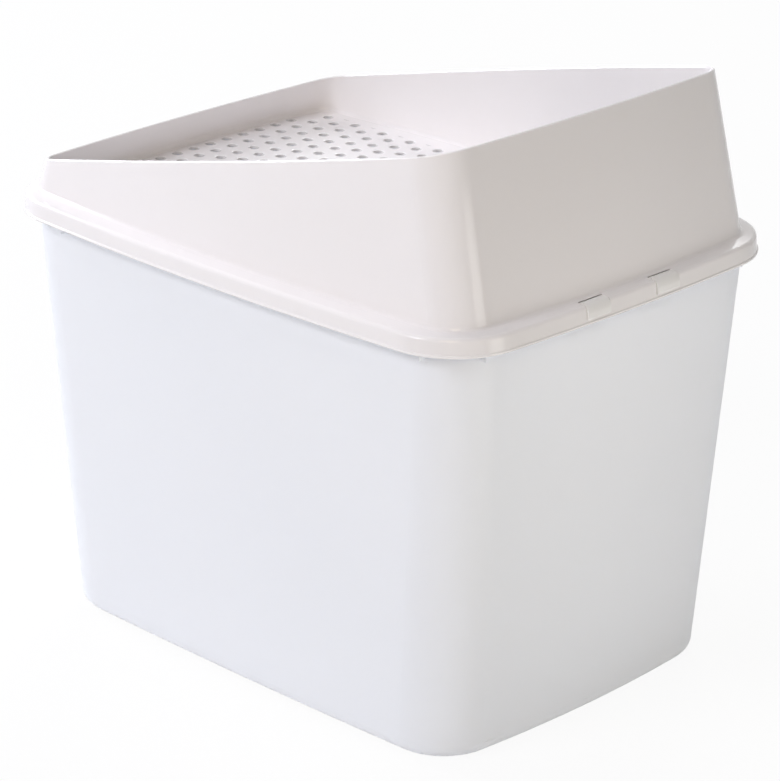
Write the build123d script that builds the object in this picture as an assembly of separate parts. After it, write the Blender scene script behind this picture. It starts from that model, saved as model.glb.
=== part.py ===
"""Top entry litter box: a drafted tub and a hinged lid with a perforated step.

Frame: millimetres, +Z up, origin at the centre of the tub's underside. +X runs along the
length towards the tall end of the collar, where the lid is hinged to the tub.
"""
import os
from math import atan2, cos, radians, sin, sqrt

from build123d import *

# ---- tub (mm) ----------------------------------------------------------------
TUB_HEIGHT = 363.0
TUB_BASE_LENGTH = 472.9
TUB_BASE_WIDTH = 335.8
TUB_BASE_CORNER = 52.0
TUB_TOP_LENGTH = 511.6
TUB_TOP_WIDTH = 381.6
TUB_TOP_CORNER = 46.0
TUB_BASE_RADIUS = 13.0      # between the floor and the walls
TUB_WALL = 2.5
TUB_FLOOR = 2.8
FLANGE_LENGTH = 524.0
FLANGE_WIDTH = 392.6
FLANGE_CORNER = 55.0
FLANGE_THICKNESS = 2.4
FLANGE_END_X = 246.0        # the flange stops short of the hinged end
RIB_THICKNESS = 1.6
RIB_INSET = 1.5             # from the flange's edge
RIB_BOTTOM_Z = 349.5
RIB_SIDE_X = (-188.0, 217.0)
RIB_END_Y = 150.0
RIB_END_TOP_Z = 355.0       # the end ribs stay below the swing of the lid's lip

# ---- lid (mm) ----------------------------------------------------------------
RIM_LENGTH = 540.0          # over the bead of the lip
RIM_WIDTH = 406.6
RIM_CORNER = 64.6
LIP_Z = 357.3               # underside of the skirt
BEAD_HEIGHT = 2.6
BEAD_PROUD = 0.9            # bead beyond the skirt's face
BEAD_ROUND = 0.7
SKIRT_WALL = 2.2
EDGE_Z = 372.5              # the skirt's face turns over into the shoulder
EDGE_INSET = 2.2            # from the bead's outline
EDGE_FILLET = 3.4
SHOULDER_Z = 373.7          # the shoulder meets the collar
SHOULDER_LENGTH = 511.6
SHOULDER_WIDTH = 370.2
SHOULDER_CORNER = 34.0      # tall end
SHOULDER_LOW_CORNER = 24.0  # low end
SHOULDER_SLOPE = 0.08       # rise per mm inwards
COVE_RADIUS = 2.5           # between the shoulder and the collar
SHOULDER_WALL = 2.6
SHOULDER_LEDGE = 1.5        # underside of the shoulder, beside the step's edge
COLLAR_WALL = 2.5
COLLAR_RISE = 134.5         # from the shoulder to the top of the tall end
COLLAR_LOW_RISE = 22.65     # from the shoulder to the top of the low end
COLLAR_TOP_CORNER = 35.2    # at the full rise, tall end
COLLAR_TOP_LOW_CORNER = 12.0
TALL_END_DRAFT = 30.1       # inward lean over the full rise
LOW_END_DRAFT = 56.5
SIDE_DRAFT = 6.9
COLLAR_EDGE_BEVEL = 0.9     # both edges of the collar's top

# ---- outward bow of the walls at mid-side (mm) ---------------------------------
BASE_BOW = (11.0, 4.0)      # short sides, long sides
TUB_TOP_BOW = (7.0, 13.5)
RIM_BOW = (8.75, 11.3)
COLLAR_BOW = (11.7, 13.7)
COLLAR_TOP_BOW_SIDE = 12.9

# ---- step (mm) -----------------------------------------------------------------
STEP_TOP_Z = 365.8
STEP_WALL = 2.0
STEP_FILLET = 3.0           # between the step and the collar
STEP_EDGE_INSET = 0.4       # the step's edge ends inside the collar's wall
STEP_JOIN_RISE = 8.0        # and runs up this far from the step's top
HOLE_RADIUS = 3.75
HOLE_PITCH = 19.5
HOLE_FIRST_X = -242.4
HOLE_COLUMNS = 14
HOLE_ROWS = 17
ENTRY_LOW_X = 4.0
ENTRY_HIGH_X = 236.0
ENTRY_WIDTH = 312.0
ENTRY_CORNER = 62.0
ENTRY_LIP_DEPTH = 11.0

# ---- hinge (mm) ----------------------------------------------------------------
HINGE_X = 266.1
HINGE_Z = 363.2
HINGE_BAR_RADIUS = 1.6
HINGE_CLEARANCE = 0.05
HINGE_OFFSET_Y = 40.5
CLIP_WIDTH = 26.0
CLIP_THICKNESS = 2.4
CLIP_CROWN_X = 262.1
CLIP_CROWN_Z = 365.9
CLIP_CROWN_RADIUS = 7.7
CLIP_SOCKET_WALL = 2.1
CLIP_SOCKET_START = -25     # degrees about the hinge axis, in the XZ plane
CLIP_SOCKET_END = 170
CLIP_FOOT_BOTTOM_Z = 358.5  # hidden behind the lip
CLIP_PLATE_BOTTOM_Z = 342.0
CLIP_PLATE_WIDTH = 38.0
CLIP_PLATE_GAP = 0.4        # below the top edge of the tub
WINDOW_RADIUS = 12.8        # clears the clip over the whole swing
WINDOW_SIDE_GAP = 0.6
WINDOW_START = -35
RELIEF_RADIUS = 4.3         # behind the bar, clears the socket when the lid is up
RELIEF_END = 290
BAR_GRIP = 0.5              # bar runs into the skirt at each side of the window


class Outline:
    """A rounded rectangle with gently bowed sides, made of eight tangent arcs."""

    def __init__(self, length, width, corner, bow, shift=0.0, low_corner=None):
        bow_end, bow_side = bow
        self.half_length = length / 2
        self.half_width = width / 2
        self.shift = shift
        self.end_radius = (self.half_width**2 + bow_end**2) / (2 * bow_end)
        self.side_radius = (self.half_length**2 + bow_side**2) / (2 * bow_side)
        self.end_centre = self.half_length - self.end_radius
        self.side_centre = self.half_width - self.side_radius
        self.corners = {1: self._corner(corner), -1: self._corner(low_corner or corner)}

    def _corner(self, radius):
        """Radius and centre of the corner arc that is tangent inside both sides."""
        x = self.half_length - radius
        y = self.half_width - radius
        for _ in range(30):
            y = self.side_centre + sqrt((self.side_radius - radius) ** 2 - x**2)
            x = self.end_centre + sqrt((self.end_radius - radius) ** 2 - y**2)
        return radius, x, y

    def wire(self, z, inset=0.0):
        """Closed wire at height z, moved inwards by inset all round."""

        def on_corner(part, sign_x, sign_y):
            """Point on a corner arc, from 0 at the short side to 1 at the long side."""
            radius, centre_x, centre_y = self.corners[sign_x]
            start = atan2(centre_y, centre_x - self.end_centre)
            angle = start + part * (atan2(centre_y - self.side_centre, centre_x) - start)
            x = centre_x + (radius - inset) * cos(angle)
            y = centre_y + (radius - inset) * sin(angle)
            return (sign_x * x + self.shift, sign_y * y, z)

        arcs = []
        for sign_x, sign_y in ((1, 1), (-1, 1), (-1, -1), (1, -1)):
            parts = [0, 0.5, 1]
            through = (self.shift, sign_y * (self.half_width - inset), z)
            last = on_corner(1, -sign_x, sign_y)
            if sign_x != sign_y:
                parts.reverse()
                through = (sign_x * (self.half_length - inset) + self.shift, 0, z)
                last = on_corner(0, sign_x, -sign_y)
            corner_points = [on_corner(part, sign_x, sign_y) for part in parts]
            arcs.append(ThreePointArc(*corner_points))
            arcs.append(ThreePointArc(corner_points[-1], through, last))
        return Wire(arcs)


TUB_BASE = Outline(TUB_BASE_LENGTH, TUB_BASE_WIDTH, TUB_BASE_CORNER, BASE_BOW)
TUB_TOP = Outline(TUB_TOP_LENGTH, TUB_TOP_WIDTH, TUB_TOP_CORNER, TUB_TOP_BOW)
FLANGE = Outline(FLANGE_LENGTH, FLANGE_WIDTH, FLANGE_CORNER, RIM_BOW)
LIP = Outline(RIM_LENGTH, RIM_WIDTH, RIM_CORNER, RIM_BOW)


def collar_outline(z):
    """Outline of the collar's outer wall at height z, along its straight draft."""
    part = (z - SHOULDER_Z) / COLLAR_RISE
    bow_end, bow_side = COLLAR_BOW
    return Outline(
        SHOULDER_LENGTH - part * (TALL_END_DRAFT + LOW_END_DRAFT),
        SHOULDER_WIDTH - part * 2 * SIDE_DRAFT,
        SHOULDER_CORNER + part * (COLLAR_TOP_CORNER - SHOULDER_CORNER),
        (bow_end, bow_side + part * (COLLAR_TOP_BOW_SIDE - bow_side)),
        part * (LOW_END_DRAFT - TALL_END_DRAFT) / 2,
        SHOULDER_LOW_CORNER + part * (COLLAR_TOP_LOW_CORNER - SHOULDER_LOW_CORNER),
    )


# ---- helpers -------------------------------------------------------------------
def loft_through(*wires):
    """Solid with straight walls between neighbouring wires."""
    return Solid.make_loft(list(wires), True)


def edges_at(shape, z, tolerance=0.05):
    """Edges that lie flat at height z."""
    flat = shape.edges().filter_by(lambda edge: edge.bounding_box().size.Z < tolerance)
    return flat.filter_by(lambda edge: abs(edge.center().Z - z) < tolerance)


def along_y(edges_xz, width, centre_y):
    """Prism along Y from a closed loop of edges in the XZ plane."""
    face = make_face(Wire(edges_xz))
    solid = extrude(face, amount=width / 2, dir=(0, 1, 0), both=True)
    return Pos(0, centre_y, 0) * solid


def hinge_point(radius, degrees):
    """Point in the XZ plane at a radius and an angle about the hinge axis."""
    angle = radians(degrees)
    return Vector(HINGE_X + radius * cos(angle), 0, HINGE_Z + radius * sin(angle))


def hinge_arc(radius, start, end):
    """Arc about the hinge axis between two angles in degrees."""
    angles = (start, (start + end) / 2, end)
    return ThreePointArc(*[hinge_point(radius, angle) for angle in angles])


def hinge_rod(radius, width, centre_y):
    """Round rod on the hinge axis."""
    return along_y([hinge_arc(radius, 0, 180), hinge_arc(radius, 180, 360)], width, centre_y)


# ---- tub -----------------------------------------------------------------------
def tub_outer():
    """Outer form of the tub as a full solid."""
    body = loft_through(TUB_BASE.wire(0), TUB_TOP.wire(TUB_HEIGHT))
    return fillet(edges_at(body, 0), TUB_BASE_RADIUS)


def tub_cavity():
    """Space inside the tub."""
    foot = TUB_BASE.wire(TUB_FLOOR, TUB_WALL)
    body = loft_through(foot, TUB_TOP.wire(TUB_HEIGHT + 1, TUB_WALL))
    return fillet(edges_at(body, TUB_FLOOR), TUB_BASE_RADIUS - TUB_WALL)


def tub_flange(outer):
    """Flange round the top edge, left off at the hinged end."""
    bottom = TUB_HEIGHT - FLANGE_THICKNESS
    ring = loft_through(FLANGE.wire(bottom), FLANGE.wire(TUB_HEIGHT)) - outer
    keep = Box(RIM_LENGTH, RIM_WIDTH, TUB_HEIGHT)
    return ring & (Pos(FLANGE_END_X - RIM_LENGTH / 2, 0, TUB_HEIGHT) * keep)


def tub_ribs(outer):
    """Small upright ribs near the corners: two on each long side, one pair at each end."""
    reach = loft_through(FLANGE.wire(RIB_BOTTOM_Z, RIB_INSET), FLANGE.wire(TUB_HEIGHT, RIB_INSET))
    reach = reach - outer
    side_height = TUB_HEIGHT - FLANGE_THICKNESS - RIB_BOTTOM_Z
    end_height = RIB_END_TOP_Z - RIB_BOTTOM_Z
    plates = []
    for x in RIB_SIDE_X:
        plate = Box(RIB_THICKNESS, RIM_WIDTH, side_height)
        plates.append(Pos(x, 0, RIB_BOTTOM_Z + side_height / 2) * plate)
    for y in (-RIB_END_Y, RIB_END_Y):
        plate = Box(RIM_LENGTH, RIB_THICKNESS, end_height)
        plates.append(Pos(0, y, RIB_BOTTOM_Z + end_height / 2) * plate)
    return [reach & plate for plate in plates]


def clip_notch(centre_y):
    """Slot in the hinged end's top edge that takes one clip's foot."""
    height = TUB_HEIGHT - CLIP_FOOT_BOTTOM_Z
    depth = TUB_TOP_LENGTH / 10
    slot = Box(depth, CLIP_WIDTH, height)
    return Pos(TUB_TOP_LENGTH / 2, centre_y, CLIP_FOOT_BOTTOM_Z + height / 2) * slot


def make_tub(shell, outer):
    """Tub with its flange, ribs and the two clip notches."""
    tub = shell + tub_flange(outer)
    for rib in tub_ribs(outer):
        tub = tub + rib
    for centre_y in (-HINGE_OFFSET_Y, HINGE_OFFSET_Y):
        tub = tub - clip_notch(centre_y)
    return tub


# ---- hinge clips ---------------------------------------------------------------
def clip_strap(centre_y):
    """Strap that rises from the tub's wall and arches over the lid's rim."""
    crown = Vector(CLIP_CROWN_X, 0, CLIP_CROWN_Z)
    outer = CLIP_CROWN_RADIUS
    inner = CLIP_CROWN_RADIUS - CLIP_THICKNESS
    left, right, top = Vector(-1, 0, 0), Vector(1, 0, 0), Vector(0, 0, 1)
    root_z = TUB_HEIGHT - 3
    root_left = Vector(CLIP_CROWN_X - outer, 0, root_z)
    root_right = Vector(CLIP_CROWN_X - inner, 0, root_z)
    end_right = Vector(CLIP_CROWN_X + outer, 0, HINGE_Z)
    end_left = Vector(CLIP_CROWN_X + inner, 0, HINGE_Z)
    loop = [
        Line(root_left, crown + left * outer),
        ThreePointArc(crown + left * outer, crown + top * outer, crown + right * outer),
        Line(crown + right * outer, end_right),
        Line(end_right, end_left),
        Line(end_left, crown + right * inner),
        ThreePointArc(crown + right * inner, crown + top * inner, crown + left * inner),
        Line(crown + left * inner, root_right),
        Line(root_right, root_left),
    ]
    return along_y(loop, CLIP_WIDTH, centre_y)


def clip_socket(centre_y):
    """Open socket at the strap's free end, snapped over the lid's hinge bar."""
    inner = HINGE_BAR_RADIUS + HINGE_CLEARANCE
    outer = inner + CLIP_SOCKET_WALL
    start, end = CLIP_SOCKET_START, CLIP_SOCKET_END
    loop = [
        hinge_arc(outer, start, end),
        Line(hinge_point(outer, end), hinge_point(inner, end)),
        hinge_arc(inner, end, start),
        Line(hinge_point(inner, start), hinge_point(outer, start)),
    ]
    return along_y(loop, CLIP_WIDTH, centre_y)


def make_clip(centre_y, shell, cavity):
    """Hinge clip: foot in the wall's notch, plate behind the wall, strap and socket."""
    foot = shell & clip_notch(centre_y)
    height = TUB_HEIGHT - CLIP_PLATE_GAP - CLIP_PLATE_BOTTOM_Z
    zone = Box(TUB_TOP_LENGTH / 10, CLIP_PLATE_WIDTH, height)
    zone = Pos(TUB_TOP_LENGTH / 2, centre_y, CLIP_PLATE_BOTTOM_Z + height / 2) * zone
    plate = (cavity - Pos(-CLIP_THICKNESS, 0, 0) * cavity) & zone
    clip = foot + plate + clip_strap(centre_y) + clip_socket(centre_y)
    return clip - hinge_rod(HINGE_BAR_RADIUS + HINGE_CLEARANCE, CLIP_WIDTH, centre_y)


# ---- lid -----------------------------------------------------------------------
def shoulder_cove():
    """Wires of the rounded inside corner where the shoulder turns up into the collar."""
    wires = []
    for degrees in (0, 30, 60, 90):
        angle = radians(degrees)
        outward = COVE_RADIUS * (1 - sin(angle))
        z = SHOULDER_Z + COVE_RADIUS * (1 - cos(angle)) - SHOULDER_SLOPE * outward
        wires.append(collar_outline(z).wire(z, -outward))
    return wires


def slope_plane():
    """Plane of the collar's sloping top edge."""
    low_x = COLLAR_LOW_RISE / COLLAR_RISE * LOW_END_DRAFT - SHOULDER_LENGTH / 2
    high_x = SHOULDER_LENGTH / 2 - TALL_END_DRAFT
    pitch = atan2(COLLAR_RISE - COLLAR_LOW_RISE, high_x - low_x)
    low_edge = (low_x, 0, SHOULDER_Z + COLLAR_LOW_RISE)
    return Plane(origin=low_edge, x_dir=(cos(pitch), 0, sin(pitch)), z_dir=(-sin(pitch), 0, cos(pitch)))


def lid_outer():
    """Lip bead, skirt, shoulder and collar as a full solid, cut along the slope."""
    top_z = SHOULDER_Z + COLLAR_RISE + 1
    outer = loft_through(
        LIP.wire(LIP_Z, BEAD_ROUND),
        LIP.wire(LIP_Z + BEAD_ROUND),
        LIP.wire(LIP_Z + BEAD_HEIGHT - BEAD_ROUND),
        LIP.wire(LIP_Z + BEAD_HEIGHT, BEAD_PROUD),
        LIP.wire(EDGE_Z, EDGE_INSET),
        *shoulder_cove(),
        collar_outline(top_z).wire(top_z),
    )
    outer = fillet(edges_at(outer, EDGE_Z), EDGE_FILLET)
    size = 2 * RIM_LENGTH
    return outer - slope_plane() * Pos(0, 0, size / 2) * Box(size, size, size)


def collar_cavity():
    """Space inside the collar, down to the step, with its rounded foot."""
    top_z = SHOULDER_Z + COLLAR_RISE + 2
    foot = collar_outline(STEP_TOP_Z).wire(STEP_TOP_Z, COLLAR_WALL)
    body = loft_through(foot, collar_outline(top_z).wire(top_z, COLLAR_WALL))
    return fillet(edges_at(body, STEP_TOP_Z), STEP_FILLET)


def rim_cavity():
    """Space under the skirt and the shoulder."""
    return loft_through(
        LIP.wire(LIP_Z - 1, SKIRT_WALL + BEAD_PROUD - BEAD_ROUND),
        LIP.wire(EDGE_Z - SHOULDER_WALL, EDGE_INSET + SKIRT_WALL),
        collar_outline(SHOULDER_Z).wire(SHOULDER_Z - SHOULDER_WALL, -SHOULDER_LEDGE),
    )


def step_slab():
    """Full solid of the step, from its underside up to where it joins the collar."""
    bottom = STEP_TOP_Z - STEP_WALL
    top = STEP_TOP_Z + STEP_JOIN_RISE
    return loft_through(
        collar_outline(bottom).wire(bottom, STEP_EDGE_INSET),
        collar_outline(top).wire(top, STEP_EDGE_INSET),
    )


def hinge_window(centre_y):
    """Opening in the shoulder that one clip passes through."""
    loop = [
        Line(hinge_point(0, 0), hinge_point(WINDOW_RADIUS, WINDOW_START)),
        hinge_arc(WINDOW_RADIUS, WINDOW_START, 180),
        Line(hinge_point(WINDOW_RADIUS, 180), hinge_point(RELIEF_RADIUS, 180)),
        hinge_arc(RELIEF_RADIUS, 180, RELIEF_END),
        Line(hinge_point(RELIEF_RADIUS, RELIEF_END), hinge_point(0, 0)),
    ]
    return along_y(loop, CLIP_WIDTH + 2 * WINDOW_SIDE_GAP, centre_y)


def hinge_bar(centre_y):
    """Round bar along the window's lower edge, the lid's half of the hinge."""
    return hinge_rod(HINGE_BAR_RADIUS, CLIP_WIDTH + 2 * (WINDOW_SIDE_GAP + BAR_GRIP), centre_y)


def entry_block(bottom_z, top_z, margin=0.0):
    """Prism of the entry opening, grown by a margin."""
    length = ENTRY_HIGH_X - ENTRY_LOW_X + 2 * margin
    outline = RectangleRounded(length, ENTRY_WIDTH + 2 * margin, ENTRY_CORNER + margin)
    middle_x = (ENTRY_HIGH_X + ENTRY_LOW_X) / 2
    return Pos(middle_x, 0, bottom_z) * extrude(outline, amount=top_z - bottom_z)


def perforations():
    """Staggered holes of the step; the column at the low end is two holes shorter."""
    column_pitch = HOLE_PITCH * sin(radians(60))
    discs = []
    for column in range(HOLE_COLUMNS):
        rows = HOLE_ROWS - (column + 1) % 2
        if column == 0:
            rows -= 2
        for row in range(rows):
            x = HOLE_FIRST_X + column * column_pitch
            y = (row - (rows - 1) / 2) * HOLE_PITCH
            discs.append(Pos(x, y) * Circle(HOLE_RADIUS))
    depth = STEP_WALL + STEP_FILLET
    return Pos(0, 0, STEP_TOP_Z - STEP_WALL - 1) * extrude(Sketch() + discs, amount=depth)


def top_edges(shape):
    """Edges that lie in the collar's sloping top."""
    slope = slope_plane()

    def on_slope(edge):
        return all(abs(slope.to_local_coords(edge @ part).Z) < 0.02 for part in (0, 0.5, 1))

    return shape.edges().filter_by(on_slope)


def make_lid(outer, cavity):
    """Rim, collar, perforated step and entry opening in one moulding."""
    step_bottom = STEP_TOP_Z - STEP_WALL
    lid = outer - rim_cavity() - cavity
    lid = chamfer(top_edges(lid), COLLAR_EDGE_BEVEL)
    lid = lid + (step_slab() - cavity)
    lid = lid + entry_block(step_bottom - ENTRY_LIP_DEPTH, STEP_TOP_Z, STEP_WALL)
    lid = lid - entry_block(step_bottom - ENTRY_LIP_DEPTH - 1, STEP_TOP_Z + 1)
    lid = lid - perforations()
    for centre_y in (-HINGE_OFFSET_Y, HINGE_OFFSET_Y):
        lid = lid - hinge_window(centre_y)
        lid = lid + (hinge_bar(centre_y) & outer)
    return lid


# ---- build ---------------------------------------------------------------------
def build():
    """Every node of the litter box, by name."""
    outer, cavity = tub_outer(), tub_cavity()
    shell = outer - cavity
    return {
        "tub": make_tub(shell, outer),
        "hinge_clip_front": make_clip(-HINGE_OFFSET_Y, shell, cavity),
        "hinge_clip_rear": make_clip(HINGE_OFFSET_Y, shell, cavity),
        "lid_hood": make_lid(lid_outer(), collar_cavity()),
    }


os.makedirs("parts", exist_ok=True)
for name, shape in build().items():
    print(name, [round(solid.volume / 1000, 1) for solid in shape.solids()])
    export_step(shape, f"parts/{name}.step")
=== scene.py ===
"""Top entry litter box in a plain studio: milky tub, glossy ivory hood, two white hinge clips."""
import logging
import math
from dataclasses import dataclass, field
from enum import Enum
from typing import Any

import bpy
from mathutils import Matrix, Vector

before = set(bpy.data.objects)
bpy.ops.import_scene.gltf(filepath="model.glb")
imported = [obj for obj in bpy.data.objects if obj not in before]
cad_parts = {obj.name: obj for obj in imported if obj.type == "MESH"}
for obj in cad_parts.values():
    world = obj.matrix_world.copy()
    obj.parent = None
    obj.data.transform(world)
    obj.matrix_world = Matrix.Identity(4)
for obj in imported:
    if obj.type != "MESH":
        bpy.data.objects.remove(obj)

LOG = logging.getLogger("litter_box")
MM = 0.001
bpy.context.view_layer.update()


class PackedNode(Enum):
    """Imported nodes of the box, by their names in model.glb."""

    TUB = "tub"
    LID_HOOD = "lid_hood"
    CLIP_FRONT = "hinge_clip_front"
    CLIP_REAR = "hinge_clip_rear"


def linear(hex_colour: str) -> tuple[float, float, float, float]:
    """Turns an sRGB hex colour into linear values.

    Args:
        hex_colour: six hex digits, such as "F4F2EE".

    Returns:
        Linear red, green and blue, and an alpha of 1.
    """
    channels = [int(hex_colour[i : i + 2], 16) / 255 for i in (0, 2, 4)]
    values = [c / 12.92 if c <= 0.04045 else ((c + 0.055) / 1.055) ** 2.4 for c in channels]
    return (values[0], values[1], values[2], 1.0)


def add_node(
    tree: bpy.types.NodeTree,
    kind: str,
    settings: dict[str, Any] | None = None,
    inputs: dict[str | int, Any] | None = None,
) -> bpy.types.Node:
    """Adds a shader node with its settings, values and links.

    Args:
        tree: the node tree it goes into.
        kind: Blender's node type.
        settings: properties of the node.
        inputs: socket name or index to a value, or to an output socket that it is linked from.

    Returns:
        The new node.
    """
    node = tree.nodes.new(kind)
    for name, value in (settings or {}).items():
        setattr(node, name, value)
    for key, value in (inputs or {}).items():
        socket = node.inputs[key]
        if isinstance(value, bpy.types.NodeSocket):
            tree.links.new(value, socket)
        else:
            socket.default_value = value
    return node


def empty_material(name: str) -> bpy.types.Material:
    """Makes a material with an empty node tree.

    Args:
        name: the material's name.

    Returns:
        The new material.
    """
    material = bpy.data.materials.new(name)
    material.use_nodes = True
    material.node_tree.nodes.clear()
    return material


WHITE = linear("FFFFFF")


# ---- finishes ------------------------------------------------------------------
@dataclass(frozen=True)
class HoleRims:
    """Rounded rims that the mould leaves round the step's holes, as relief in the finish.

    The holes stand on two interleaved lattices, because every other row is set off by half a pitch.

    Attributes:
        first_mm: a hole of the first lattice, in X and Y.
        second_mm: a hole of the second lattice.
        pitch_mm: spacing within each lattice, in X and Y.
        radius_mm: of a hole.
        width_mm: how far the rounding reaches beyond the hole's edge.
        depth_mm: how deep it falls at the edge.
        top_mm: height of the step's top.
        middle_mm: middle of the perforated field, in X and Y.
        reach_mm: half the field's size.
        end_row_mm: the outermost column has no holes beyond this distance from the middle.
        end_column_mm: X up to which that limit holds.
        end_slope: how much the limit widens for each mm inwards of there.
        top_margin_mm: how far from the step's top a point may lie and still be on it.
    """

    first_mm: tuple[float, float] = (-242.4, 9.75)
    second_mm: tuple[float, float] = (-225.513, 0.0)
    pitch_mm: tuple[float, float] = (33.775, 19.5)
    radius_mm: float = 3.75
    width_mm: float = 2.3
    depth_mm: float = 0.8
    top_mm: float = 365.8
    middle_mm: tuple[float, float] = (-133.0, 0.0)
    reach_mm: tuple[float, float] = (117.0, 162.0)
    end_row_mm: float = 133.0
    end_column_mm: float = -240.0
    end_slope: float = 3.0
    top_margin_mm: float = 0.3

    def distance(
        self, tree: bpy.types.NodeTree, flat: bpy.types.NodeSocket, hole: tuple[float, float]
    ) -> bpy.types.NodeSocket:
        """Distance to the nearest hole of one lattice.

        Args:
            tree: the node tree.
            flat: output with the place in mm, flattened to X and Y.
            hole: a hole of the lattice.

        Returns:
            Output socket with the distance in mm.
        """
        half = (self.pitch_mm[0] / 2, self.pitch_mm[1] / 2, 1.0)
        offset = add_node(tree, "ShaderNodeVectorMath", {"operation": "SUBTRACT"}, {
            0: flat, 1: (hole[0], hole[1], 0.0)})
        cell = add_node(tree, "ShaderNodeVectorMath", {"operation": "WRAP"}, {
            0: offset.outputs[0], 1: half, 2: tuple(-v for v in half)})
        return add_node(tree, "ShaderNodeVectorMath", {"operation": "LENGTH"}, {
            0: cell.outputs[0]}).outputs["Value"]

    def field(
        self, tree: bpy.types.NodeTree, place: bpy.types.NodeSocket
    ) -> bpy.types.NodeSocket:
        """Where the rims may show: the step's top, inside the perforated field.

        Args:
            tree: the node tree.
            place: output with the place in mm.

        Returns:
            Output socket with 1 inside the field and 0 outside.
        """
        axes = add_node(tree, "ShaderNodeSeparateXYZ", {}, {0: place})
        across = add_node(tree, "ShaderNodeMath", {"operation": "ABSOLUTE"}, {0: axes.outputs["Y"]})
        slant = add_node(tree, "ShaderNodeMath", {"operation": "MULTIPLY_ADD"}, {
            0: axes.outputs["X"], 1: self.end_slope,
            2: self.end_row_mm - self.end_slope * self.end_column_mm})
        limit = add_node(tree, "ShaderNodeMath", {"operation": "MAXIMUM"}, {
            0: slant.outputs[0], 1: self.end_row_mm})
        tests = (
            add_node(tree, "ShaderNodeMath", {"operation": "COMPARE"}, {
                0: axes.outputs["Z"], 1: self.top_mm, 2: self.top_margin_mm}),
            add_node(tree, "ShaderNodeMath", {"operation": "COMPARE"}, {
                0: axes.outputs["X"], 1: self.middle_mm[0], 2: self.reach_mm[0]}),
            add_node(tree, "ShaderNodeMath", {"operation": "LESS_THAN"}, {
                0: across.outputs[0], 1: self.reach_mm[1]}),
            add_node(tree, "ShaderNodeMath", {"operation": "LESS_THAN"}, {
                0: across.outputs[0], 1: limit.outputs[0]}))
        inside = tests[0].outputs[0]
        for test in tests[1:]:
            inside = add_node(tree, "ShaderNodeMath", {"operation": "MULTIPLY"}, {
                0: inside, 1: test.outputs[0]}).outputs[0]
        return inside

    def relief(
        self, tree: bpy.types.NodeTree, place: bpy.types.NodeSocket, normal: bpy.types.NodeSocket
    ) -> bpy.types.NodeSocket:
        """Adds the rims to a skin.

        Args:
            tree: the node tree.
            place: output with object coordinates, in metres.
            normal: output with the skin's normal.

        Returns:
            Output socket with the new normal.
        """
        in_mm = add_node(tree, "ShaderNodeVectorMath", {"operation": "SCALE"}, {
            0: place, "Scale": 1 / MM}).outputs[0]
        flat = add_node(tree, "ShaderNodeVectorMath", {"operation": "MULTIPLY"}, {
            0: in_mm, 1: (1.0, 1.0, 0.0)}).outputs[0]
        nearest = add_node(tree, "ShaderNodeMath", {"operation": "MINIMUM"}, {
            0: self.distance(tree, flat, self.first_mm),
            1: self.distance(tree, flat, self.second_mm)})
        fall = add_node(tree, "ShaderNodeMapRange", {"interpolation_type": "SMOOTHERSTEP"}, {
            "Value": nearest.outputs[0], "From Min": self.radius_mm - self.width_mm,
            "From Max": self.radius_mm + self.width_mm, "To Min": -1.0, "To Max": 0.0})
        depth = add_node(tree, "ShaderNodeMath", {"operation": "MULTIPLY"}, {
            0: fall.outputs[0], 1: self.field(tree, in_mm)})
        # The fall is half done at a hole's edge, so the full height is twice the depth there.
        return add_node(tree, "ShaderNodeBump", {}, {
            "Height": depth.outputs[0], "Strength": 1.0, "Distance": 2 * self.depth_mm * MM,
            "Normal": normal}).outputs["Normal"]


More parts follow.
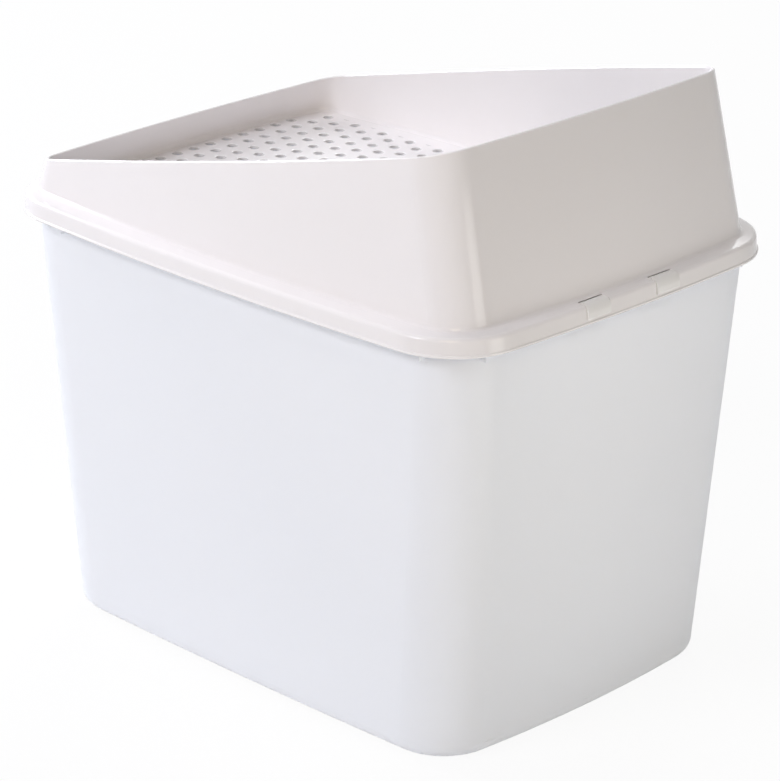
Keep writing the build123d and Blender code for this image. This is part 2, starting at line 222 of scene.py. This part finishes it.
@dataclass(frozen=True)
class MouldedPlastic:
    """An injection-moulded plastic with a faint drift of tone and a skin that isn't quite flat.

    Attributes:
        name: the material's name.
        colour: its usual tone, as sRGB hex.
        drift_colour: the tone that it drifts to where the melt flowed last.
        drift_mm: size of the patches of drift.
        roughness: of the skin.
        ior: index of refraction.
        scatter: share of light that goes through the skin and comes back out.
        scatter_mm: how far that light travels.
        ripple_mm: spacing of the shallow ripples left by shrinkage.
        ripple_depth_mm: their depth.
        grain_mm: size of the mould's fine grain, drawn coarse enough to show.
        grain_depth_mm: its depth.
        rims: relief round moulded holes, where the piece has them.
    """

    name: str
    colour: str
    drift_colour: str
    drift_mm: float
    roughness: float
    ior: float
    scatter: float
    scatter_mm: float
    ripple_mm: float
    ripple_depth_mm: float
    grain_mm: float
    grain_depth_mm: float
    rims: HoleRims | None = None

    def material(self) -> bpy.types.Material:
        """Builds the node material.

        Returns:
            A material on object coordinates.
        """
        material = empty_material(self.name)
        tree = material.node_tree
        place = add_node(tree, "ShaderNodeTexCoord").outputs["Object"]
        drift = add_node(tree, "ShaderNodeTexNoise", {}, {
            "Vector": place, "Scale": 1 / (self.drift_mm * MM), "Detail": 2.0, "Roughness": 0.4})
        tone = add_node(tree, "ShaderNodeMix", {"data_type": "RGBA"}, {
            0: drift.outputs["Fac"], 6: linear(self.colour), 7: linear(self.drift_colour)})
        ripple = add_node(tree, "ShaderNodeTexNoise", {}, {
            "Vector": place, "Scale": 1 / (self.ripple_mm * MM), "Detail": 0.0})
        grain = add_node(tree, "ShaderNodeTexNoise", {}, {
            "Vector": place, "Scale": 1 / (self.grain_mm * MM), "Detail": 1.0})
        skin = add_node(tree, "ShaderNodeBump", {}, {
            "Height": ripple.outputs["Fac"], "Strength": 1.0,
            "Distance": self.ripple_depth_mm * MM})
        fine = add_node(tree, "ShaderNodeBump", {}, {
            "Height": grain.outputs["Fac"], "Strength": 1.0, "Distance": self.grain_depth_mm * MM,
            "Normal": skin.outputs["Normal"]})
        normal = fine.outputs["Normal"]
        if self.rims:
            normal = self.rims.relief(tree, place, normal)
        shader = add_node(tree, "ShaderNodeBsdfPrincipled", {}, {
            "Base Color": tone.outputs[2], "Roughness": self.roughness, "IOR": self.ior,
            "Subsurface Weight": self.scatter, "Subsurface Radius": (1.0, 1.0, 1.0),
            "Subsurface Scale": self.scatter_mm * MM, "Normal": normal})
        add_node(tree, "ShaderNodeOutputMaterial", {}, {"Surface": shader.outputs["BSDF"]})
        return material


# Natural polypropylene, moulded with a satin skin: milky, cool, lit a little from within.
NATURAL_POLYPROPYLENE = MouldedPlastic(
    name="natural_polypropylene_satin", colour="F6F9FF", drift_colour="F3F7FE", drift_mm=160,
    roughness=0.4, ior=1.49, scatter=0.35, scatter_mm=6, ripple_mm=140, ripple_depth_mm=0.25,
    grain_mm=1.6, grain_depth_mm=0.006)
# Ivory polypropylene from a polished mould: faintly warm white, with long soft highlights.
IVORY_POLYPROPYLENE = MouldedPlastic(
    name="ivory_polypropylene_gloss", colour="F5F2F3", drift_colour="F2EFEF", drift_mm=130,
    roughness=0.14, ior=1.49, scatter=0.2, scatter_mm=3, ripple_mm=110, ripple_depth_mm=0.16,
    grain_mm=1.4, grain_depth_mm=0.002, rims=HoleRims())
# White acetal, moulded: slippery and a little brighter than the hood.
WHITE_ACETAL = MouldedPlastic(
    name="white_acetal_moulded", colour="F6F5F4", drift_colour="F2F1F0", drift_mm=40,
    roughness=0.28, ior=1.48, scatter=0.1, scatter_mm=2, ripple_mm=30, ripple_depth_mm=0.03,
    grain_mm=1.2, grain_depth_mm=0.002)


# ---- sub-assemblies ------------------------------------------------------------
@dataclass
class Tub:
    """The tub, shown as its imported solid."""

    finish: MouldedPlastic = NATURAL_POLYPROPYLENE

    def build(self) -> list[bpy.types.Object]:
        """Gives the tub its finish, and returns its object."""
        return [dress_node(PackedNode.TUB, self.finish)]


@dataclass
class LidHood:
    """The hood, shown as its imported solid."""

    finish: MouldedPlastic = IVORY_POLYPROPYLENE

    def build(self) -> list[bpy.types.Object]:
        """Gives the hood its finish, and returns its object."""
        return [dress_node(PackedNode.LID_HOOD, self.finish)]


@dataclass
class HingeClips:
    """The two clips at the tall end."""

    finish: MouldedPlastic = WHITE_ACETAL
    nodes: tuple[PackedNode, ...] = (PackedNode.CLIP_FRONT, PackedNode.CLIP_REAR)

    def build(self) -> list[bpy.types.Object]:
        """Gives both clips their finish, and returns their objects."""
        return [dress_node(node, self.finish) for node in self.nodes]


def dress_node(node: PackedNode, finish: MouldedPlastic) -> bpy.types.Object:
    """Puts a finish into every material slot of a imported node.

    Args:
        node: which one.
        finish: what it is made of.

    Returns:
        The node's object.
    """
    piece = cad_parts[node.value]
    material = bpy.data.materials.get(finish.name) or finish.material()
    if not piece.material_slots:
        piece.data.materials.append(material)
    for slot in piece.material_slots:
        slot.material = material
    return piece


# ---- studio --------------------------------------------------------------------
@dataclass
class Camera:
    """The camera, three-quarters on to the tall end and the long side, from above.

    Attributes:
        centre_mm: where it stands.
        azimuth: of the camera as seen from the box, in degrees, from the front towards +X.
        elevation: of the camera as seen from the box, in degrees.
        roll: its turn about its own axis, in degrees.
        lens_mm: focal length.
        sensor_mm: width of the sensor.
        reach_m: the nearest and farthest that it sees.
    """

    centre_mm: tuple[float, float, float] = (1954.60, -1995.08, 1330.68)
    azimuth: float = 44.319
    elevation: float = 21.825
    roll: float = -0.468
    lens_mm: float = 165.94
    sensor_mm: float = 36.0
    reach_m: tuple[float, float] = (0.1, 50.0)

    def build(self) -> bpy.types.Object:
        """Makes the camera and sets it as the scene's.

        Returns:
            The camera.
        """
        azimuth, elevation, roll = map(math.radians, (self.azimuth, self.elevation, self.roll))
        back = Vector((math.sin(azimuth) * math.cos(elevation),
                       -math.cos(azimuth) * math.cos(elevation), math.sin(elevation)))
        right = Vector((math.cos(azimuth), math.sin(azimuth), 0))
        up = back.cross(right)
        across = math.cos(roll) * right - math.sin(roll) * up
        upward = math.sin(roll) * right + math.cos(roll) * up
        data = bpy.data.cameras.new("studio_camera")
        data.lens, data.sensor_width = self.lens_mm, self.sensor_mm
        data.clip_start, data.clip_end = self.reach_m
        camera = bpy.data.objects.new("studio_camera", data)
        turn = Matrix((across, upward, back)).transposed().to_4x4()
        camera.matrix_world = Matrix.Translation(Vector(self.centre_mm) * MM) @ turn
        bpy.context.scene.collection.objects.link(camera)
        bpy.context.scene.camera = camera
        return camera


@dataclass(frozen=True)
class Softbox:
    """A rectangular lamp aimed at the box.

    Attributes:
        name: the lamp's name.
        place: where it hangs, in metres.
        width: its level side, in metres.
        height: its other side, in metres.
        power: in watts.
        tint: the colour of its light, as sRGB hex.
    """

    name: str
    place: tuple[float, float, float]
    width: float
    height: float
    power: float
    tint: str = "FFFFFF"

    def build(self, target: Vector) -> bpy.types.Object:
        """Hangs the lamp and aims it.

        Args:
            target: the point that it is aimed at, in metres.

        Returns:
            The lamp.
        """
        data = bpy.data.lights.new(self.name, "AREA")
        data.shape, data.size, data.size_y = "RECTANGLE", self.width, self.height
        data.energy, data.color = self.power, linear(self.tint)[:3]
        lamp = bpy.data.objects.new(self.name, data)
        lamp.location = self.place
        lamp.rotation_euler = (target - lamp.location).to_track_quat("-Z", "Y").to_euler()
        lamp.visible_camera = False
        bpy.context.scene.collection.objects.link(lamp)
        return lamp


@dataclass
class Studio:
    """White room: pale floor, even surroundings, and softboxes that are strongest front and left.

    Attributes:
        floor_side: in metres.
        floor_colour: of the paper, as sRGB hex.
        floor_glow: share of plain white in what the camera sees of the floor.
        surround: strength of the surroundings as light on the box.
        target: the point that the lamps are aimed at, in metres.
        lamps: the softboxes, and a narrow upright card at the tall end that stands half under
            the floor. It lights that end, and puts a small bright wedge on the floor beside it.
    """

    floor_side: float = 14.0
    floor_colour: str = "F4F4F4"
    floor_glow: float = 0.92
    surround: float = 0.12
    target: tuple[float, float, float] = (0.0, 0.0, 0.24)
    lamps: tuple[Softbox, ...] = field(default_factory=lambda: (
        Softbox("key_softbox", (-0.4, -3.0, 2.4), 1.3, 1.3, 55.0, "F3F5FF"),
        Softbox("left_softbox", (-3.0, -0.4, 1.8), 1.4, 1.4, 58.0, "F5F7FF"),
        Softbox("back_softbox", (-1.6, 2.2, 2.4), 1.4, 1.4, 30.0),
        Softbox("top_softbox", (-0.3, -0.2, 3.0), 1.6, 1.6, 15.0, "FAFAFF"),
        Softbox("camera_softbox", (2.3, -2.7, 2.1), 1.2, 1.2, 25.0, "FFEBCC"),
        Softbox("reflector_card", (0.66, 0.0, 0.03), 0.2, 1.0, 1.4, "FFFDF8")))

    def build(self) -> None:
        """Makes the floor, the surroundings and the lamps."""
        bpy.ops.mesh.primitive_plane_add(size=self.floor_side)
        floor = bpy.context.active_object
        floor.name = "floor"
        floor.data.materials.append(self.floor_material())
        self.surroundings()
        for lamp in self.lamps:
            lamp.build(Vector(self.target))

    @staticmethod
    def seen_directly(tree: bpy.types.NodeTree) -> bpy.types.NodeSocket:
        """Tells what the camera sees, straight or in a reflection, from light on the box.

        Args:
            tree: the node tree.

        Returns:
            Output socket with 1 for camera, glossy and transmission rays, and 0 for the others.
        """
        path = add_node(tree, "ShaderNodeLightPath")
        clear = add_node(tree, "ShaderNodeMath", {"operation": "MAXIMUM"}, {
            0: path.outputs["Is Camera Ray"], 1: path.outputs["Is Transmission Ray"]})
        return add_node(tree, "ShaderNodeMath", {"operation": "MAXIMUM"}, {
            0: clear.outputs[0], 1: path.outputs["Is Glossy Ray"]}).outputs[0]

    def floor_material(self) -> bpy.types.Material:
        """Matt white paper that shows as white, and keeps part of the box's shadow.

        Returns:
            The floor's material.
        """
        material = empty_material("studio_paper_matt")
        tree = material.node_tree
        seen = self.seen_directly(tree)
        paper = add_node(tree, "ShaderNodeBsdfDiffuse", {}, {"Color": linear(self.floor_colour)})
        glow = add_node(tree, "ShaderNodeEmission", {}, {"Color": WHITE, "Strength": 1.0})
        share = add_node(tree, "ShaderNodeMath", {"operation": "MULTIPLY"}, {
            0: seen, 1: self.floor_glow})
        mix = add_node(tree, "ShaderNodeMixShader", {}, {
            0: share.outputs[0], 1: paper.outputs[0], 2: glow.outputs[0]})
        add_node(tree, "ShaderNodeOutputMaterial", {}, {"Surface": mix.outputs[0]})
        return material

    def surroundings(self) -> None:
        """White to the camera and in reflections, and a dimmer white as light on the box."""
        world = bpy.data.worlds.new("studio_surroundings")
        bpy.context.scene.world = world
        world.use_nodes = True
        tree = world.node_tree
        tree.nodes.clear()
        seen = self.seen_directly(tree)
        lit = add_node(tree, "ShaderNodeBackground", {}, {
            "Color": WHITE, "Strength": self.surround})
        white = add_node(tree, "ShaderNodeBackground", {}, {"Color": WHITE, "Strength": 1.0})
        mix = add_node(tree, "ShaderNodeMixShader", {}, {
            0: seen, 1: lit.outputs[0], 2: white.outputs[0]})
        add_node(tree, "ShaderNodeOutputWorld", {}, {"Surface": mix.outputs[0]})


def main() -> None:
    """Builds the studio and each sub-assembly."""
    logging.basicConfig(level=logging.INFO, format="%(name)s: %(message)s")
    bpy.context.scene.view_settings.view_transform = "Standard"
    Camera().build()
    Studio().build()
    for assembly in (Tub(), LidHood(), HingeClips()):
        for piece in assembly.build():
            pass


if __name__ == "__main__":
    main()
